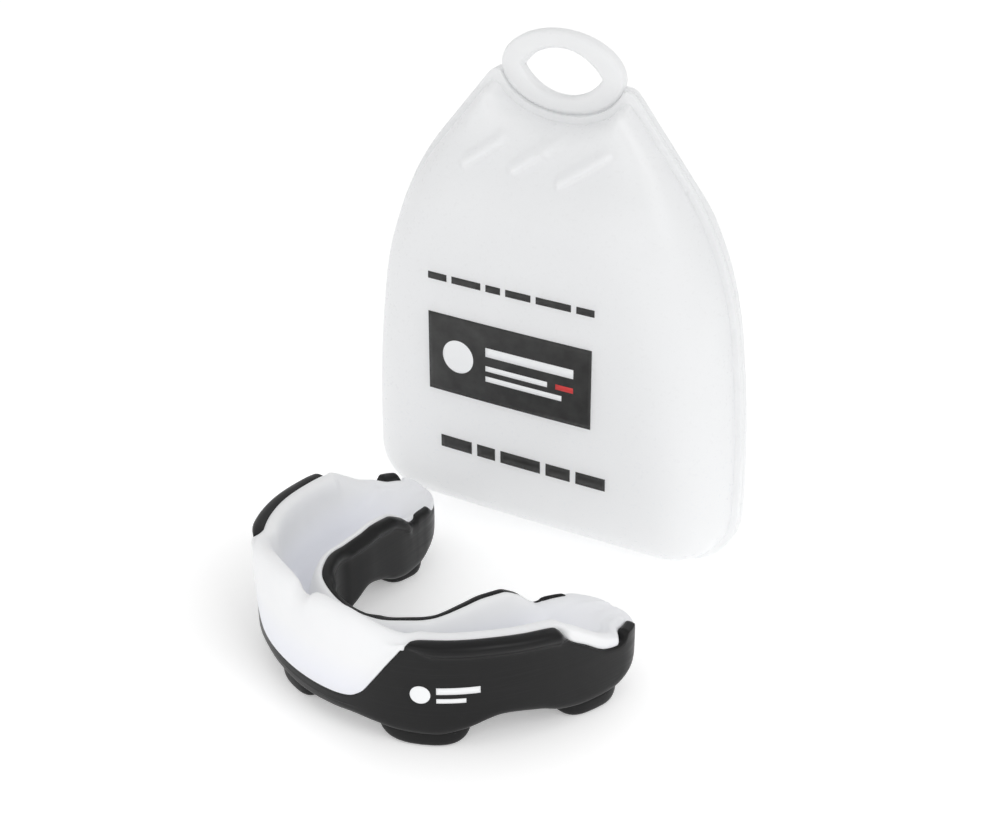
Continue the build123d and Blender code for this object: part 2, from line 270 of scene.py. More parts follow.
def liner_section(s):
    """Control loop (inward distance, height) of the white liner."""
    away = abs(s)
    width, top, lip, trough, split, under = (
        curve(away) for curve in (ARCH_WIDTH, RIM_TOP, INNER_LIP, TROUGH, COLOUR_SPLIT,
                                  UNDERSIDE))
    panel = 1 - ramp(20.6, 23.4, away)                  # the proud front panel
    side = 1 - panel
    overflow = ramp(46.4, 48.6, away)                   # white covers black past the bead
    tab = band(away, (57.6, 60.4), (62.7, 63.9))        # black wraps over the outer edge
    outer = (-0.42 * panel + 1.35 * side * (1 - overflow) + 0.25 * overflow * side
             + 2.1 * tab)
    split = min(split, top - 1.9)
    low = split - 0.02 - 0.5 * side * (1 - overflow)
    wall = 3.6 - 0.4 * panel + 1.5 * tab
    crest = outer + 0.5 * panel
    inner = (width - 1.15 - 0.25 * band(away, (54.5, 56.5), (60.3, 61.5))
             + 0.85 * ramp(60.6, 62.0, away))
    return round_leg([
        # outside face, upwards
        (outer + 2.4, low + 0.1), (outer + 1.1, low - 0.02), (outer + 0.25, low - 0.02),
        (outer + 0.02, low + 0.25), (outer, low + 0.8), (outer + 0.02, 0.62 * low + 0.38 * top),
        (outer + 0.10, 0.3 * low + 0.7 * top),
        # over the rim
        (outer + 0.25 + 0.25 * panel, top - 1.25 * panel - 0.28 * side),
        (crest + 0.9, top - 0.05), (crest + 1.9, top + 0.02),
        (crest + 2.7, max(top - 0.7, 0.55 * top + 0.45 * trough)),
        # trough, outer wall to inner wall
        (wall + 0.35, 0.55 * top + 0.45 * trough), (wall + 0.8, 0.22 * top + 0.78 * trough),
        (wall + 1.7, trough + 0.15), (wall + 2.9, trough), (0.5 * width + 0.6, trough - 0.1),
        (width - 5.6, trough), (width - 4.5, trough + 0.35),
        (width - 3.6, 0.55 * trough + 0.45 * lip), (width - 2.9, 0.2 * trough + 0.8 * lip),
        # over the inner lip
        (width - 2.2, lip - 0.05), (inner - 0.3, lip + 0.12), (inner, lip - 0.15),
        (inner + 0.05, lip - 0.9), (inner - 0.2, lip - 1.5),
        # back along the inside of the black shell
        (width - 2.1, lip - 2.0), (width - 2.1, min(under + 3.2, lip - 2.2)),
        (width - 2.6, under + 2.3), (width - 4.0, under + 2.1), (4.2, under + 2.1),
        (2.6 + 0.4 * tab, under + 2.4), (2.35 + 0.4 * tab, under + 3.2),
    ], s)


def shell_section(s):
    """Control loop (inward distance, height) of the black shell."""
    away = abs(s)
    width, lip, split, under = (
        curve(away) for curve in (ARCH_WIDTH, INNER_LIP, COLOUR_SPLIT, UNDERSIDE))
    bead = band(away, (20.4, 26.5), (45.9, 47.4))       # bead under the outer rim
    plain = 1 - bead
    bulge = 0.75 * bead
    inner_bead = band(away, (5.0, 9.0), (50.0, 52.6))
    tab = band(away, (58.9, 60.1), (62.6, 63.8))        # outer tab near the leg end
    inner_tab = band(away, (54.6, 55.8), (60.6, 61.6))
    lip = lip - 0.15 + 0.25 * inner_tab - 0.5 * ramp(61.0, 62.4, away)
    rim = split + 0.1 * bead + 0.30 * tab - 2.0 * ramp(62.6, 63.8, away)
    wall = 2.2 + 0.25 * tab
    return round_leg([
        # outside face, upwards
        (3.2, under), (1.3, under + 0.05), (0.45, under + 0.35), (0.08, under + 1.1),
        (0.0, under + 2.2), (-0.02, 0.5 * under + 0.5 * rim - 0.2),
        (-0.02, min(rim - 3.1 * bead - 0.9 * plain, rim - 0.5)),
        # bead and outer rim
        (-0.04 - 0.05 * bulge, rim - 2.45 * bead - 0.6 * plain),
        (-0.95 * bulge, rim - 1.75 * bead - 0.4 * plain),
        (-1.15 * bulge, rim - 0.95 * bead - 0.22 * plain),
        (-0.65 * bulge + 0.05, rim - 0.18 * bead - 0.05),
        (0.45, rim + 0.02), (1.1, rim + 0.02), (1.9 + 0.35 * tab, rim - 0.25), (wall, rim - 0.9),
        # hollow, outer wall to inner wall
        (wall, 0.5 * (rim + under) + 0.8), (wall + 0.1, under + 2.6), (wall + 1.2, under + 1.9),
        (0.5 * width, under + 1.9), (width - 3.4, under + 1.9), (width - 2.2, under + 2.6),
        (width - 2.1, 0.5 * (lip + under) + 0.6), (width - 2.0 - 0.8 * inner_tab, lip - 0.9),
        (width - 1.55 - 0.8 * inner_tab, lip - 0.2),
        # inner rim and inner bead
        (width - 0.9 + 0.25 * inner_bead, lip + 0.08),
        (width - 0.25 + 0.65 * inner_bead, lip - 0.12),
        (width + 0.95 * inner_bead, lip - 0.9), (width + 0.85 * inner_bead, lip - 1.75),
        (width + 0.02 + 0.08 * inner_bead, lip - 2.3),
        (width - 0.10 * inner_bead, max(lip - 3.0, 0.5 * (lip + under))),
        # inside face downwards, then the underside
        (width, 0.45 * lip + 0.55 * under), (width, under + 2.2), (width - 0.12, under + 1.0),
        (width - 0.55, under + 0.3), (width - 1.5, under + 0.02), (width - 3.4, under),
        (0.5 * width, under),
    ], s)


def arch_stations(scale):
    """Distances along the arch, closer together where the section changes quickly."""
    last = LEG_END - 0.02
    half = [0.0]
    while half[-1] < last:
        away = half[-1]
        pitch = 0.28 if 13.5 < away < 24.5 or 45 < away < 64 else 0.6
        if away > 63.4:
            pitch = 0.10
        half.append(min(last, away + pitch * scale))
    return np.array([-x for x in reversed(half[1:])] + half)


CAP_SCALES = (0.93, 0.80, 0.55, 0.25)     # rows shrinking to the middle at each leg end
SECTION_POINTS = 160
STATIONS = arch_stations(1.0)
UV_PER_MM = 0.01


def sweep(name, section):
    """Closed skin of a section carried along the arch."""
    rows = []
    for s in STATIONS:
        loop = bspline_loop(section(s), SECTION_POINTS)
        rows.append(on_arch(s, loop[:, 0], loop[:, 1]))

    def cap(row):
        centre = row.mean(0)
        return [centre + (row - centre) * scale for scale in CAP_SCALES]

    rows = cap(rows[0])[::-1] + rows + cap(rows[-1])
    extra = len(CAP_SCALES)
    along = np.concatenate([[STATIONS[0]] * extra, STATIONS, [STATIONS[-1]] * extra])
    uvs = np.stack([np.repeat(along, SECTION_POINTS) * UV_PER_MM,
                    np.tile(np.arange(SECTION_POINTS) / SECTION_POINTS, len(rows))], -1)
    return loft(name, rows, uvs)


liner = sweep("guard_liner_white", liner_section)
shell = sweep("guard_shell_black", shell_section)


# --------------------------------------------------------------- shock pads
PAD_POINTS = 64
PAD_SQUARENESS = 3.2      # superellipse power of the pad's plan
PAD_INSET = 5.5           # mm drawn in as the scale falls from 1 to 0
PAD_OVERLAP = 0.7         # how far the pad reaches up into the shell
ROLL_POWER = 1.6
ROLL_AMOUNT = 0.92
# Rows from top to bottom: (plan scale, height as a share of the shell's underside)
PAD_ROWS = [(1.0, None), (1.0, 0.75), (1.0, 0.5), (0.985, 0.28), (0.955, 0.13), (0.91, 0.04),
            (0.85, 0.0), (0.70, 0.0), (0.40, 0.0), (0.12, 0.0)]


def pad_mesh(name, start, end, outer, inner, start_roll, end_roll):
    """Soft-edged block under the shell, rolling up from the floor towards both ends."""
    centre, half_length = 0.5 * (start + end), 0.5 * (end - start)
    middle, half_width = 0.5 * (outer + inner), 0.5 * (inner - outer)
    angle = np.linspace(0, 2 * math.pi, PAD_POINTS, endpoint=False)
    plan_s, plan_n = (np.sign(q) * np.abs(q) ** (2 / PAD_SQUARENESS)
                      for q in (np.cos(angle), np.sin(angle)))
    rows = []
    for scale, share in PAD_ROWS:
        inset = (1 - scale) * PAD_INSET
        s = centre + plan_s * (half_length - inset)
        under = UNDERSIDE(np.abs(s))
        if share is None:
            z = under + PAD_OVERLAP
        else:
            t = np.clip((s - centre) / half_length, -1, 1)
            power = np.where(t < 0, start_roll, end_roll) * ROLL_POWER
            roll = 1 - (1 - np.abs(t) ** power) ** (1 / ROLL_POWER)
            z = under * (share + (1 - share) * ROLL_AMOUNT * roll)
        rows.append(on_arch(s, middle + plan_n * (half_width - inset), z))
    count = len(rows)
    uvs = np.stack([np.tile(np.arange(PAD_POINTS) / PAD_POINTS, count),
                    np.repeat(np.arange(count) / count, PAD_POINTS)], -1)
    return loft(name, rows, uvs)


# name, start and end along the arch, outer and inner edge, roll at start and end
PADS = [("pad_front_right", 14.9, 32.4, 0.75, 9.6, 1.7, 2.6),
        ("pad_front_left", -9.9, 1.2, 1.0, 8.8, 1.9, 4.0),
        ("pad_rear_right", 47.0, 61.2, 0.9, 15.4, 2.6, 2.2),
        ("pad_rear_left", -61.2, -47.0, 0.9, 15.4, 2.2, 2.6)]
pads = [pad_mesh(*row) for row in PADS]


# ------------------------------------------------- case outlines, as (x, z) loops
def resample(loop, step):
    """Closed loop at an even spacing close to step."""
    run = run_length(np.vstack([loop, loop[:1]]))
    loop = loop[np.r_[True, np.diff(run)[:-1] > 1e-9]]
    closed = np.vstack([loop, loop[:1]])
    run = run_length(closed)
    count = max(16, int(round(run[-1] / step)))
    s = np.arange(count) * run[-1] / count
    return np.stack([np.interp(s, run, closed[:, k]) for k in (0, 1)], -1)


def rounded_outline(corners, step):
    """Corners (x, z, radius), counter-clockwise, as an evenly sampled loop."""
    points = []
    for i, (x, z, radius) in enumerate(corners):
        corner = np.array([x, z])
        to_last = unit(np.array(corners[i - 1][:2]) - corner)
        to_next = unit(np.array(corners[(i + 1) % len(corners)][:2]) - corner)
        half_angle = math.acos(np.clip(to_last @ to_next, -1, 1)) / 2
        reach = radius / math.tan(half_angle)
        centre = corner + unit(to_last + to_next) * radius / math.sin(half_angle)
        start, end = (math.atan2(*(corner + way * reach - centre)[::-1])
                      for way in (to_last, to_next))
        turn = (end - start + math.pi) % (2 * math.pi) - math.pi
        count = max(6, int(abs(turn) * radius / 0.3))
        for k in range(count + 1):
            angle = start + turn * k / count
            points.append(centre + radius * np.array([math.cos(angle), math.sin(angle)]))
    return resample(np.array(points), step)


def soften(loop, rounds):
    for _ in range(rounds):
        loop = 0.5 * loop + 0.25 * (np.roll(loop, 1, 0) + np.roll(loop, -1, 0))
    return loop


def loop_normals(loop):
    """Inward normals of a counter-clockwise loop."""
    tangent = np.roll(loop, -1, 0) - np.roll(loop, 1, 0)
    tangent /= np.linalg.norm(tangent, axis=1, keepdims=True)
    return np.stack([-tangent[:, 1], tangent[:, 0]], -1)


CHUNK = 4000      # points handled at once, to bound memory


def distance_to(points, loop):
    """Distance from points (m, 2) to a closed polyline."""
    out = np.full(len(points), 1e9)
    edge = np.roll(loop, -1, 0) - loop
    length2 = (edge**2).sum(1)
    for k in range(0, len(points), CHUNK):
        some = points[k:k + CHUNK, None, :]
        t = np.clip(((some - loop) * edge).sum(-1) / length2, 0, 1)
        gaps = np.linalg.norm(some - (loop + t[..., None] * edge), axis=-1)
        out[k:k + CHUNK] = gaps.min(1)
    return out


def inside(points, loop):
    """Even-odd test of points against a closed polyline."""
    a, b = loop, np.roll(loop, -1, 0)
    out = np.zeros(len(points), bool)
    for k in range(0, len(points), CHUNK):
        x, z = (points[k:k + CHUNK, axis][:, None] for axis in (0, 1))
        hit = (a[:, 1] > z) != (b[:, 1] > z)
        with np.errstate(divide="ignore", invalid="ignore"):
            crossing = a[:, 0] + (z - a[:, 1]) * (b[:, 0] - a[:, 0]) / (b[:, 1] - a[:, 1])
        out[k:k + CHUNK] = ((hit & (x < crossing)).sum(1) % 2) == 1
    return out


def moved_in(loop, offset, tolerance):
    """Loop moved inwards, without the points that fold over at tight corners."""
    moved = loop + loop_normals(soften(loop, 2)) * offset
    return moved[(distance_to(moved, loop) > offset * tolerance) & inside(moved, loop)]


EDGE_STEP = 0.6


def offset_loop(loop, offset):
    moved = resample(moved_in(loop, offset, 0.985), EDGE_STEP)
    return resample(soften(moved, 3), EDGE_STEP)


HALF_WIDTH, BOTTOM, NECK_TOP = 36.2, 0.9, 85.8
FLANGE_WIDTH, FLANGE_THICK, WALL = 1.2, 1.25, 1.1
RING_HALF_WIDTH, RING_HALF_HEIGHT, RING_Z, RING_THICK = 11.4, 7.0, 86.8, 2.4
HOLE_WIDTH, HOLE_HEIGHT = 15.0, 8.2

# Corners of the +x half, upwards: (x, z, radius)
HALF_CORNERS = [(HALF_WIDTH, BOTTOM, 11.5), (HALF_WIDTH, 30.0, 210.0), (33.3, 54.0, 52.0),
                (27.0, 68.0, 52.0), (12.9, NECK_TOP, 2.0)]
FINE_STEP, OUTLINE_STEP = 0.35, 0.7
OUTLINE = rounded_outline(
    HALF_CORNERS + [(-x, z, r) for x, z, r in reversed(HALF_CORNERS)], FINE_STEP)


def scooped(grow):
    """Case outline with the ring's ellipse, grown by grow, taken out of its top edge."""
    half_width, half_height = RING_HALF_WIDTH + grow, RING_HALF_HEIGHT + grow
    x, z = OUTLINE.T
    cut = np.where((x / half_width) ** 2 + ((z - RING_Z) / half_height) ** 2 < 1)[0]
    before, after = OUTLINE[:cut[0]], OUTLINE[cut[-1] + 1:]
    start, end = (math.atan2((point[1] - RING_Z) / half_height, point[0] / half_width)
                  for point in (before[-1], after[0]))
    if end > start:
        end -= 2 * math.pi
    angle = np.linspace(start, end, 90)[1:-1]
    arc = np.stack([half_width * np.cos(angle), RING_Z + half_height * np.sin(angle)], -1)
    loop = np.vstack([before, arc, after])
    return resample(soften(resample(loop, FINE_STEP), 6), OUTLINE_STEP)


FRONT_LOOP = scooped(0.35)     # clear of the ring
BACK_LOOP = scooped(-1.2)      # overlapping the ring


# ------------------------------------------------------------------ case halves
FRONT_DEPTH, FRONT_NECK = 13.0, 6.2      # dome depth over the body and at the neck
BACK_DEPTH, BACK_NECK = 12.0, 5.2
# Three short ribs on the front's neck: ends as (x, z)
RIBS = [((-13.6, 71.4), (-8.0, 75.6)), ((-4.4, 71.8), (2.0, 76.4)), ((4.6, 71.2), (11.6, 76.0))]
RIB_HEIGHT = 1.25
MATING_GAP = 0.05                        # from the parting plane to each half
GRID_STEP = 1.15
DOME_OFFSETS = [0.03, 0.09, 0.18, 0.32, 0.52, 0.8, 1.15, 1.6, 2.2, 2.9, 3.7]
HOLLOW_OFFSETS = [0.05, 0.2, 0.45, 0.9, 1.5, 2.3]
# Rounded flange edge: (inset from the outline, height from the parting plane)
FLANGE_EDGE = [(0.16, MATING_GAP), (0.05, MATING_GAP + 0.05), (0.0, MATING_GAP + 0.2),
               (0.0, FLANGE_THICK - 0.22), (0.06, FLANGE_THICK - 0.06), (0.20, FLANGE_THICK)]


def rib_distances(points):
    """Distance from points to each rib's centre line."""
    out = []
    for ends in RIBS:
        a, b = np.array(ends)
        t = np.clip(((points - a) @ (b - a)) / ((b - a) @ (b - a)), 0, 1)
        out.append(np.linalg.norm(points - (a + t[:, None] * (b - a)), axis=1))
    return out


def dome_height(points, foot, depth, neck, ribs):
    """Height of the dome over (x, z) points, rising from the foot loop."""
    x, z = points.T
    to_neck = ramp(63.0, 78.5, z)
    highest = depth * (1 - to_neck) + neck * to_neck
    # distance over which the edge rises, a little shorter towards the bottom
    rise = 14.5 * (1 - to_neck) + 4.4 * to_neck - ramp(26.0, 3.0, z)
    t = np.clip(distance_to(points, foot) / rise, 0, 1)
    edge = (1 - (1 - t) ** 2.45) ** (1 / 2.45)
    crown = 1.0 - 0.055 * np.clip(((x / 34.0) ** 2 + ((z - 40) / 46.0) ** 2), 0, 1.4)
    height = highest * edge * crown
    if ribs:
        for gap in rib_distances(points):
            height = height + RIB_HEIGHT * (1 - ramp(0.1, 1.45, gap)) * np.clip(t * 2, 0, 1)
    return np.maximum(height, 0.0)


def hex_grid(spacing):
    """Staggered grid of (x, z) points covering the case."""
    xs = np.arange(-38, 38, spacing)
    zs = np.arange(0, 96, spacing * 0.866)
    return np.array([(x + (spacing / 2 if k % 2 else 0), z) for k, z in enumerate(zs)
                     for x in xs])


def dome_points(loop, offsets, spacing, ribs=False):
    """Rows following the edge, then an even grid, finer around the ribs."""
    rows = [moved_in(loop, offset, 0.97) for offset in offsets]
    grid = hex_grid(spacing)
    if ribs:
        fine = hex_grid(0.42)
        fine = fine[np.min(rib_distances(fine), axis=0) < 2.3]
        grid = np.vstack([grid[np.min(rib_distances(grid), axis=0) > 2.5], fine])
    grid = grid[inside(grid, loop)]
    grid = grid[distance_to(grid, loop) > offsets[-1] + spacing * 0.6]
    return np.vstack(rows + [grid])


def triangulate(loops, points=()):
    """Delaunay triangles of loops (the first outside, others holes) and free points."""
    places, edges = [], []
    for loop in loops:
        first = len(places)
        places += [tuple(q) for q in loop]
        edges += [(first + i, first + (i + 1) % len(loop)) for i in range(len(loop))]
    places += [tuple(q) for q in points]
    result = delaunay_2d_cdt([Vector(q) for q in places], edges, [], 0, 1e-6)
    flat = np.array([(q.x, q.y) for q in result[0]])
    faces = np.array([tuple(face) for face in result[2]])
    centres = flat[faces].mean(1)
    keep = inside(centres, loops[0])
    for loop in loops[1:]:
        keep &= ~inside(centres, loop)
    return flat, faces[keep]


def case_half(name, outline, sign, depth, neck, ribs):
    """Flange, dome and hollow welded to one closed skin; sign is its side in y."""
    foot = offset_loop(outline, FLANGE_WIDTH)
    mouth = offset_loop(outline, FLANGE_WIDTH + WALL)
    base = resample(outline, EDGE_STEP)
    normals = loop_normals(soften(base, 2))
    points, faces = [], []

    def add(flat, height, new_faces):
        first = sum(map(len, points))
        points.append(np.stack([flat[:, 0], sign * (height + np.zeros(len(flat))),
                                flat[:, 1]], -1))
        faces.extend(tuple(int(k) + first for k in face) for face in new_faces)

    # outer dome
    flat, tris = triangulate([foot], dome_points(foot, DOME_OFFSETS, GRID_STEP, ribs))
    add(flat, np.maximum(dome_height(flat, foot, depth, neck, ribs), FLANGE_THICK), tris)
    # hollow
    flat, tris = triangulate([mouth], dome_points(mouth, HOLLOW_OFFSETS, GRID_STEP * 1.3))
    hollow = dome_height(flat, mouth, depth - WALL, neck - WALL, False)
    add(flat, np.maximum(hollow, MATING_GAP), tris)
    # mating face, then the flange's outward face
    for (inset, height), inner in ((FLANGE_EDGE[0], mouth), (FLANGE_EDGE[-1], foot)):
        flat, tris = triangulate([base + normals * inset, inner])
        add(flat, height, tris)
    # rounded flange edge
    strip = np.concatenate([base + normals * inset for inset, _ in FLANGE_EDGE])
    heights = np.repeat([height for _, height in FLANGE_EDGE], len(base))
    add(strip, heights, row_faces(len(FLANGE_EDGE), len(base)))

    points = np.concatenate(points)
    points[:, 2] = np.maximum(points[:, 2], BOTTOM)
    half = mesh_object(name, points, faces)
    fix_normals(half, weld=0.00004)
    half.data.polygons.foreach_set("use_smooth", [True] * len(half.data.polygons))
    half.data.set_sharp_from_angle(angle=math.radians(50))
    return half


front = case_half("case_front", FRONT_LOOP, -1, FRONT_DEPTH, FRONT_NECK, True)
back = case_half("case_back", BACK_LOOP, 1, BACK_DEPTH, BACK_NECK, False)


# ------------------------------------------------------------- ring and hinge
def ring_mesh():
    """Flat elliptical tab with an almond hole and rounded edges."""
    angle = np.linspace(0, 2 * math.pi, 160, endpoint=False)
    outer = np.stack([RING_HALF_WIDTH * np.cos(angle),
                      RING_Z + RING_HALF_HEIGHT * np.sin(angle)], -1)
    # the hole is bounded by two arcs meeting in points, which are then softened
    half_width, half_height = HOLE_WIDTH / 2, HOLE_HEIGHT / 2
    radius = (half_width**2 + half_height**2) / (2 * half_height)
    x = half_width * np.cos(angle)
    arc = np.sqrt(np.maximum(radius**2 - x**2, 0)) - (radius - half_height)
    inner = np.stack([x, RING_Z - 0.1 + np.sign(np.sin(angle)) * arc], -1)
    for _ in range(10):
        inner = 0.6 * inner + 0.2 * (np.roll(inner, 1, 0) + np.roll(inner, -1, 0))
    edge = 0.7
    flat = RING_THICK / 2 - edge
    quarter = np.linspace(0, math.pi / 2, 6)
    rows = []

    def add(loop, y):
        rows.append(np.stack([loop[:, 0], np.full(len(loop), y), loop[:, 1]], -1))

    for loop, into, side in ((outer, loop_normals(outer), 1), (inner, -loop_normals(inner), -1)):
        for turn in quarter:
            add(loop + into * (edge - edge * math.sin(turn)),
                side * (flat + edge * math.cos(turn)))
        for turn in quarter:
            add(loop + into * (edge - edge * math.cos(turn)),
                -side * (flat + edge * math.sin(turn)))
    return loft("case_ring", rows, closed=True)


STRIP_THICK, STRIP_RADIUS, STRIP_HALF = 0.36, 0.43, 19.0


def hinge_strip():
    """Thin strip along x, bent to a U under the parting plane."""
    outer = STRIP_RADIUS + STRIP_THICK / 2
    inner = STRIP_RADIUS - STRIP_THICK / 2
    bend_z = outer + 0.01
    top = BOTTOM + 0.58
    middle = (top + bend_z) / 2
    bend = np.linspace(0, math.pi, 18)
    section = [(-outer, top), (-outer, middle)]
    section += [(-outer * math.cos(a), bend_z - outer * math.sin(a)) for a in bend]
    section += [(outer, middle), (outer, top), (inner, top), (inner, middle)]
    section += [(inner * math.cos(a), bend_z - inner * math.sin(a)) for a in bend]
    section += [(-inner, middle), (-inner, top)]
    rows = [[(x, y, z) for y, z in section] for x in np.linspace(-STRIP_HALF, STRIP_HALF, 60)]
    return loft("hinge_strip", rows)


ring = ring_mesh()
strip = hinge_strip()


# ----------------------------------------------------------------- materials
class Shader:
    """A new material with short ways to add nodes; values may be sockets or constants."""

    def __init__(self, name):
        self.material = bpy.data.materials.new(name)
        self.material.use_nodes = True
        self.tree = self.material.node_tree
        self.bsdf = self.tree.nodes["Principled BSDF"]

    def feed(self, socket, value):
        if isinstance(value, bpy.types.NodeSocket):
            self.tree.links.new(value, socket)
        else:
            socket.default_value = value

    def fill(self, node, **inputs):
        """Feed inputs by name, with _ standing for a space."""
        for name, value in inputs.items():
            self.feed(node.inputs[name.replace("_", " ")], value)

    def node(self, kind, **inputs):
        node = self.tree.nodes.new("ShaderNode" + kind)
        self.fill(node, **inputs)
        return node

    def surface(self, **inputs):
        self.fill(self.bsdf, **inputs)

    def coords(self, scale=(1, 1, 1)):
        place = self.node("TexCoord").outputs["Object"]
        return self.node("Mapping", Scale=scale, Vector=place).outputs["Vector"]

    def height(self):
        """Object z, in metres."""
        place = self.node("TexCoord").outputs["Object"]
        return self.node("SeparateXYZ", Vector=place).outputs["Z"]

    def noise(self, vector, scale, detail=3.0, roughness=0.55):
        return self.node("TexNoise", Scale=scale, Detail=detail, Roughness=roughness,
                         Vector=vector).outputs["Fac"]

    def remap(self, value, source, target=(0, 1)):
        return self.node("MapRange", From_Min=source[0], From_Max=source[1], To_Min=target[0],
                         To_Max=target[1], Value=value).outputs["Result"]

    def mix(self, factor, first, second):
        """Colour between first and second."""
        node = self.node("Mix")
        node.data_type = "RGBA"
        for index, value in ((0, factor), (6, first), (7, second)):
            self.feed(node.inputs[index], (*value, 1) if isinstance(value, tuple) else value)
        return node.outputs[2]

    def bump(self, height, strength, distance, **below):
        return self.node("Bump", Strength=strength, Distance=distance, Height=height,
                         **below).outputs["Normal"]


def scaled(colour, factor):
    return tuple(min(1, factor * c) for c in colour)


def white_eva():
    shader = Shader("white_eva_liner")
    place = shader.coords()
    grain = shader.noise(place, scale=2600, detail=4)
    cloud = shader.noise(place, scale=90)
    # painted shade: a faint cool shadow tint low down in the trough, full below 8.8 mm and gone
    # by 14.5 mm
    low = shader.remap(shader.height(), source=(0.0088, 0.0145), target=(1.0, 0.0))
    base = shader.mix(shader.remap(cloud, source=(0.35, 0.65)),
                      (0.872, 0.877, 0.888), (0.893, 0.896, 0.905))
    grain_bump = shader.bump(grain, strength=0.10, distance=0.00006)
    shader.surface(
        # painted shade: the base colour turns cool grey-blue low in the trough
        Base_Color=shader.mix(low, base, (0.85, 0.86, 0.915)),
        Roughness=shader.remap(grain, source=(0.3, 0.7), target=(0.36, 0.50)),
        Subsurface_Weight=0.28, Subsurface_Scale=0.004, Subsurface_Radius=(1.0, 0.95, 0.95),
        Specular_IOR_Level=0.42, Coat_Weight=0.06, Coat_Roughness=0.35,
        Normal=shader.bump(cloud, strength=0.06, distance=0.0005, Normal=grain_bump))
    return shader.material


def black_rubber(name, base, streaked, roughness):
    """Dark rubber; streaked adds pale moulding grain lying level along the walls."""
    shader = Shader(name)
    place = shader.coords()
    grain = shader.noise(place, scale=3000, detail=5, roughness=0.6)
    cloud = shader.noise(place, scale=120)
    streaks = shader.noise(shader.coords(scale=(60.0, 60.0, 3200.0)), scale=1.0, detail=4,
                           roughness=0.6)
    clouded = shader.mix(shader.remap(cloud, source=(0.3, 0.7)),
                         scaled(base, 0.82), scaled(base, 1.25))
    pale = shader.remap(streaks, source=(0.55, 0.78), target=(0.0, 0.6 if streaked else 0.1))
    grain_bump = shader.bump(grain, strength=0.16, distance=0.00005)
    streak_bump = shader.bump(streaks, strength=0.20 if streaked else 0.03, distance=0.00007,
                              Normal=grain_bump)
    shader.surface(
        Base_Color=shader.mix(pale, clouded, scaled(base, 3.4)),
        Roughness=shader.remap(streaks if streaked else grain, source=(0.35, 0.7),
                               target=roughness),
        Specular_IOR_Level=0.24, Coat_Weight=0.05, Coat_Roughness=0.22,
        Normal=shader.bump(cloud, strength=0.05, distance=0.0005, Normal=streak_bump))
    return shader.material


def frosted(name, tint, translucency, roughness, painted_glow=0.055):
    """Milky plastic, with a painted glow twice as strong at the floor as 62 mm up."""
    shader = Shader(name)
    place = shader.coords()
    grain = shader.noise(place, scale=1500, detail=4)
    cloud = shader.noise(place, scale=26, detail=2)
    scuffs = shader.noise(shader.coords(scale=(1.0, 1.0, 0.08)), scale=700, detail=5,
                          roughness=0.7)
    grain_bump = shader.bump(grain, strength=0.05, distance=0.00006)
    scuff_bump = shader.bump(shader.remap(scuffs, source=(0.68, 0.80)), strength=0.02,
                             distance=0.00003, Normal=grain_bump)
    normal = shader.bump(cloud, strength=0.03, distance=0.0006, Normal=scuff_bump)
    shader.surface(
        Base_Color=shader.mix(shader.remap(cloud, source=(0.35, 0.65)),
                              scaled(tint, 0.985), tint),
        Roughness=shader.remap(grain, source=(0.3, 0.7),
                               target=(roughness - 0.05, roughness + 0.07)),
        # painted light: white emission that makes the case glow, strongest near the floor
        Emission_Color=(1, 1, 1, 1),
        Emission_Strength=shader.remap(shader.height(), source=(0.0, 0.062),
                                       target=(2.1 * painted_glow, painted_glow)),
        Subsurface_Weight=0.45, Subsurface_Scale=0.006, Subsurface_Radius=(1.0, 1.0, 1.0),
        Specular_IOR_Level=0.45, IOR=1.49, Coat_Weight=0.10, Coat_Roughness=0.28,
        Normal=normal)
    through = shader.node("BsdfTranslucent", Color=(*scaled(tint, 1.05), 1), Normal=normal)
    blend = shader.node("MixShader")
    for index, value in enumerate((translucency, shader.bsdf.outputs[0], through.outputs[0])):
        shader.feed(blend.inputs[index], value)
    shader.fill(shader.tree.nodes["Material Output"], Surface=blend.outputs[0])
    return shader.material


def ink(name, colour, roughness=0.42, wear=0.06):
    """Printed ink; wear fades it in patches towards mid grey."""
    shader = Shader(name)
    place = shader.coords()
    grain = shader.noise(place, scale=1800, detail=4)
    patches = shader.noise(place, scale=300)
    worn = tuple(c * (1 - wear) + wear * 0.35 for c in colour)
    shader.surface(
        Base_Color=shader.mix(shader.remap(patches, source=(0.3, 0.75)), colour, worn),
        Roughness=shader.remap(grain, source=(0.3, 0.7),
                               target=(roughness - 0.06, roughness + 0.1)),
        Normal=shader.bump(grain, strength=0.08, distance=0.00003))
    return shader.material


WHITE = white_eva()
BLACK = black_rubber("black_eva_shell", (0.0046, 0.0046, 0.0049), streaked=True,
                     roughness=(0.30, 0.50))
PAD_BLACK = black_rubber("black_pad_rubber", (0.0050, 0.0050, 0.0053), streaked=False,
                         roughness=(0.42, 0.56))
CASE_FROST = frosted("frosted_polypropylene", (0.925, 0.929, 0.934), translucency=0.38,
                     roughness=0.30)
RING_FROST = frosted("frosted_polypropylene_ring", (0.90, 0.905, 0.91), translucency=0.30,
                     roughness=0.32, painted_glow=0.0)
STRIP_FROST = frosted("frosted_polypropylene_strip", (0.955, 0.96, 0.965), translucency=0.45,
                      roughness=0.40)
INK_BLACK = ink("ink_black", (0.011, 0.011, 0.0105))
INK_WHITE = ink("ink_white", (0.88, 0.89, 0.90), roughness=0.5, wear=0.03)
INK_RED = ink("ink_red", (0.62, 0.03, 0.03), roughness=0.45, wear=0.03)

for piece, material in ((liner, WHITE), (shell, BLACK), (front, CASE_FROST), (back, CASE_FROST),
                        (ring, RING_FROST), (strip, STRIP_FROST)):
    piece.data.materials.append(material)
for pad in pads:
    pad.data.materials.append(PAD_BLACK)


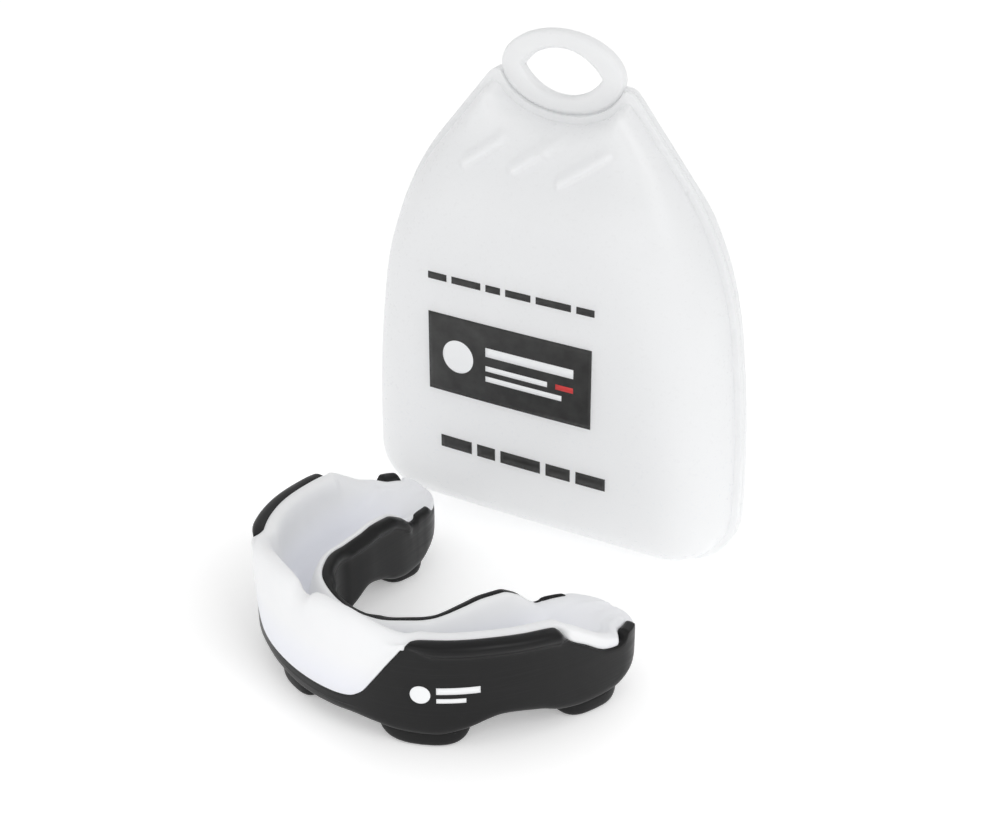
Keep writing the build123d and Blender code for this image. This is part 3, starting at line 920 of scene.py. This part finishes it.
# --------------------------------------------------------------------- prints
INK_THICK = 0.02          # above the surface, and as much sunk below it
OVERPRINT = 0.03          # lift of ink lying on other ink
GUARD_CLEARANCE = 0.03    # lift of the mouthguard's prints off its outside face
PRINT_STEP = 0.8
FRONT_FOOT = offset_loop(FRONT_LOOP, FLANGE_WIDTH)


def on_case(x, z, lift):
    height = dome_height(np.stack([x, z], -1), FRONT_FOOT, FRONT_DEPTH, FRONT_NECK, True)
    return np.stack([x, -(height + lift), z], -1)


def on_guard(s, z, lift):
    return on_arch(s, -GUARD_CLEARANCE - lift, z)


def rectangle(x_span, z_span):
    """Unit square onto a rectangle."""
    (x0, x1), (z0, z1) = x_span, z_span
    return lambda u, v: (x0 + (x1 - x0) * u, z0 + (z1 - z0) * v)


def disc(x, z, radius):
    """Unit square onto a disc."""
    def place(u, v):
        a, b = 2 * u - 1, 2 * v - 1
        return (x + radius * (a * np.sqrt(1 - b * b / 2)),
                z + radius * (b * np.sqrt(1 - a * a / 2)))
    return place


def ink_patch(name, shape, counts, surface, body, material, lift=0.0):
    """Closed thin slab: shape maps the unit square, surface lays it on the body."""
    nu, nv = counts
    u, v = np.meshgrid(np.linspace(0, 1, nu), np.linspace(0, 1, nv), indexing="ij")
    x, z = shape(u.ravel(), v.ravel())
    points = np.concatenate([surface(x, z, INK_THICK + lift), surface(x, z, -INK_THICK)])
    under = nu * nv
    faces = []
    for i in range(nu - 1):
        for j in range(nv - 1):
            a, b = i * nv + j, (i + 1) * nv + j
            faces.append((a, b, b + 1, a + 1))
            faces.append((under + a, under + a + 1, under + b + 1, under + b))
    rim = ([i * nv for i in range(nu)] + [(nu - 1) * nv + j for j in range(1, nv)]
           + [i * nv + nv - 1 for i in range(nu - 2, -1, -1)] + list(range(nv - 2, 0, -1)))
    for a, b in zip(rim, rim[1:] + rim[:1]):
        faces.append((a, b, under + b, under + a))
    patch = mesh_object(name, points, faces)
    fix_normals(patch)
    patch.data.materials.append(material)
    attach(patch, body)


def case_rectangle(name, x_span, z_span, material, lift=0.0):
    counts = [max(3, int((end - start) / PRINT_STEP)) for start, end in (x_span, z_span)]
    ink_patch(name, rectangle(x_span, z_span), counts, on_case, "case_front", material, lift)


def case_dashes(name, x, z_span, widths, gap):
    """Row of plain black dashes where a line of lettering would sit."""
    for k, width in enumerate(widths):
        case_rectangle("%s_%d" % (name, k + 1), (x, x + width), z_span, INK_BLACK)
        x += width + gap


PANEL_LEFT = -19.2
BAR_LEFT, BAR_RIGHT = -7.6, 9.6
BAR_2_SPAN = (35.1, 36.1)
case_rectangle("print_panel_black", (PANEL_LEFT, 13.0), (29.0, 44.0), INK_BLACK)
ink_patch("print_panel_disc", disc(-13.2, 36.4, 3.1), (17, 17), on_case, "case_front",
          INK_WHITE, OVERPRINT)
for k, (right, z_span) in enumerate(((BAR_RIGHT, (37.9, 39.6)), (4.6, BAR_2_SPAN),
                                     (7.4, (33.1, 34.1)))):
    case_rectangle("print_panel_bar_%d" % (k + 1), (BAR_LEFT, right), z_span, INK_WHITE,
                   OVERPRINT)
case_rectangle("print_panel_accent", (6.2, BAR_RIGHT), BAR_2_SPAN, INK_RED, OVERPRINT)
case_dashes("print_upper_dash", PANEL_LEFT, (50.2, 51.5), (3.8, 5.8, 2.9, 4.9, 6.7, 3.4), 1.0)
case_dashes("print_lower_dash", -17.0, (17.6, 20.0), (6.4, 3.7, 8.0, 4.8, 5.7), 1.1)

# On the mouthguard: a disc and two bars, placed from (along the arch, height)
MARK_S, MARK_Z = 27.6, 10.4
MARK_BAR_S = MARK_S - 1.4
for name, shape, counts in (
        ("disc", disc(MARK_S - 3.9, MARK_Z + 0.1, 1.6), (15, 15)),
        ("bar_1", rectangle((MARK_BAR_S, MARK_BAR_S + 6.8), (MARK_Z + 0.3, MARK_Z + 1.5)),
         (14, 3)),
        ("bar_2", rectangle((MARK_BAR_S, MARK_BAR_S + 4.6), (MARK_Z - 1.3, MARK_Z - 0.5)),
         (10, 3))):
    ink_patch("print_guard_" + name, shape, counts, on_guard, "mouthguard", INK_WHITE)


# ------------------------------------------------------- riding and replacing
def stand_in(piece, body, node):
    """Let a piece move with a body and take a CAD node's place."""
    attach(piece, body)
    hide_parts(node)


stand_in(front, "case_front", "case_front_shell")
stand_in(back, "case_back", "case_back_shell")
stand_in(ring, "case_back", "case_back_shell")
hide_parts("hinge_web")
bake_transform(strip)
stand_in(liner, "mouthguard", "guard_inner_liner")
stand_in(shell, "mouthguard", "guard_outer_shell")
for pad, row in zip(pads, PADS):
    stand_in(pad, "mouthguard", "shock_" + row[0])


# ------------------------------------------------------------- floor and light
FLOOR_HALF, FLOOR_Z = 4000.0, -0.05      # mm


def floor():
    corners = [(x * FLOOR_HALF, y * FLOOR_HALF, FLOOR_Z)
               for x, y in ((-1, -1), (1, -1), (1, 1), (-1, 1))]
    piece = mesh_object("studio_floor", corners, [(0, 1, 2, 3)], smooth_shade=False)
    shader = Shader("pale_floor")
    mottle = shader.noise(shader.coords(), scale=6.0, detail=2)
    shader.surface(Roughness=0.75, Specular_IOR_Level=0.1, Emission_Color=(1, 1, 1, 1),
                   Emission_Strength=0.30,
                   Base_Color=shader.mix(mottle, (0.93, 0.93, 0.93), (0.95, 0.95, 0.95)))
    piece.data.materials.append(shader.material)


def studio_world(lighting=0.72, seen=1.0):
    """White surroundings: one strength as a light, another as seen by the camera."""
    world = bpy.data.worlds.new("studio")
    bpy.context.scene.world = world
    world.use_nodes = True
    tree = world.node_tree
    background = tree.nodes["Background"]
    background.inputs[0].default_value = (1.0, 1.0, 1.0, 1)
    background.inputs[1].default_value = lighting
    path = tree.nodes.new("ShaderNodeLightPath")
    strength = tree.nodes.new("ShaderNodeMapRange")
    strength.inputs["To Min"].default_value = lighting
    strength.inputs["To Max"].default_value = seen
    tree.links.new(path.outputs["Is Camera Ray"], strength.inputs["Value"])
    tree.links.new(strength.outputs["Result"], background.inputs[1])


def area_light(name, location, size, power, target=(0.0, 0.0, 0.04)):
    """Rectangular light aimed at target; metres and watts."""
    data = bpy.data.lights.new(name, "AREA")
    data.shape = "RECTANGLE"
    data.size, data.size_y = size
    data.energy = power
    light = bpy.data.objects.new(name, data)
    bpy.context.scene.collection.objects.link(light)
    light.location = location
    aim = Vector(target) - Vector(location)
    light.rotation_euler = aim.to_track_quat("-Z", "Y").to_euler()


def camera():
    """Camera above the front right of the scene, looking down to the back left."""
    data = bpy.data.cameras.new("camera")
    view = bpy.data.objects.new("camera", data)
    bpy.context.scene.collection.objects.link(view)
    data.sensor_width = 36
    data.lens = 72
    data.clip_start = 0.01
    right = Vector((0.86603, 0.5, 0))
    up = Vector((-0.23474, 0.40657, 0.88295))
    backwards = Vector((0.44147, -0.76466, 0.46947))
    turn = Matrix((right, up, backwards)).transposed().to_4x4()
    place = (0.1495, -0.28005 + PARTING_Y * MM, 0.19219)
    view.matrix_world = Matrix.Translation(place) @ turn
    bpy.context.scene.camera = view


floor()
studio_world()
area_light("key_softbox", location=(0.46, -0.20, 0.42), size=(0.34, 0.34), power=0.8)
area_light("fill_left", location=(-0.50, -0.52, 0.24), size=(0.5, 0.5), power=0.28)
area_light("back_rim", location=(0.1, 0.6, 0.45), size=(0.7, 0.4), power=0.25)
area_light("front_fill", location=(0.05, -0.75, 0.35), size=(0.5, 0.5), power=0.45,
           target=(0.0, 0.03, 0.05))
camera()
bpy.context.scene.view_settings.view_transform = "Standard"
bpy.context.scene.view_settings.look = "None"
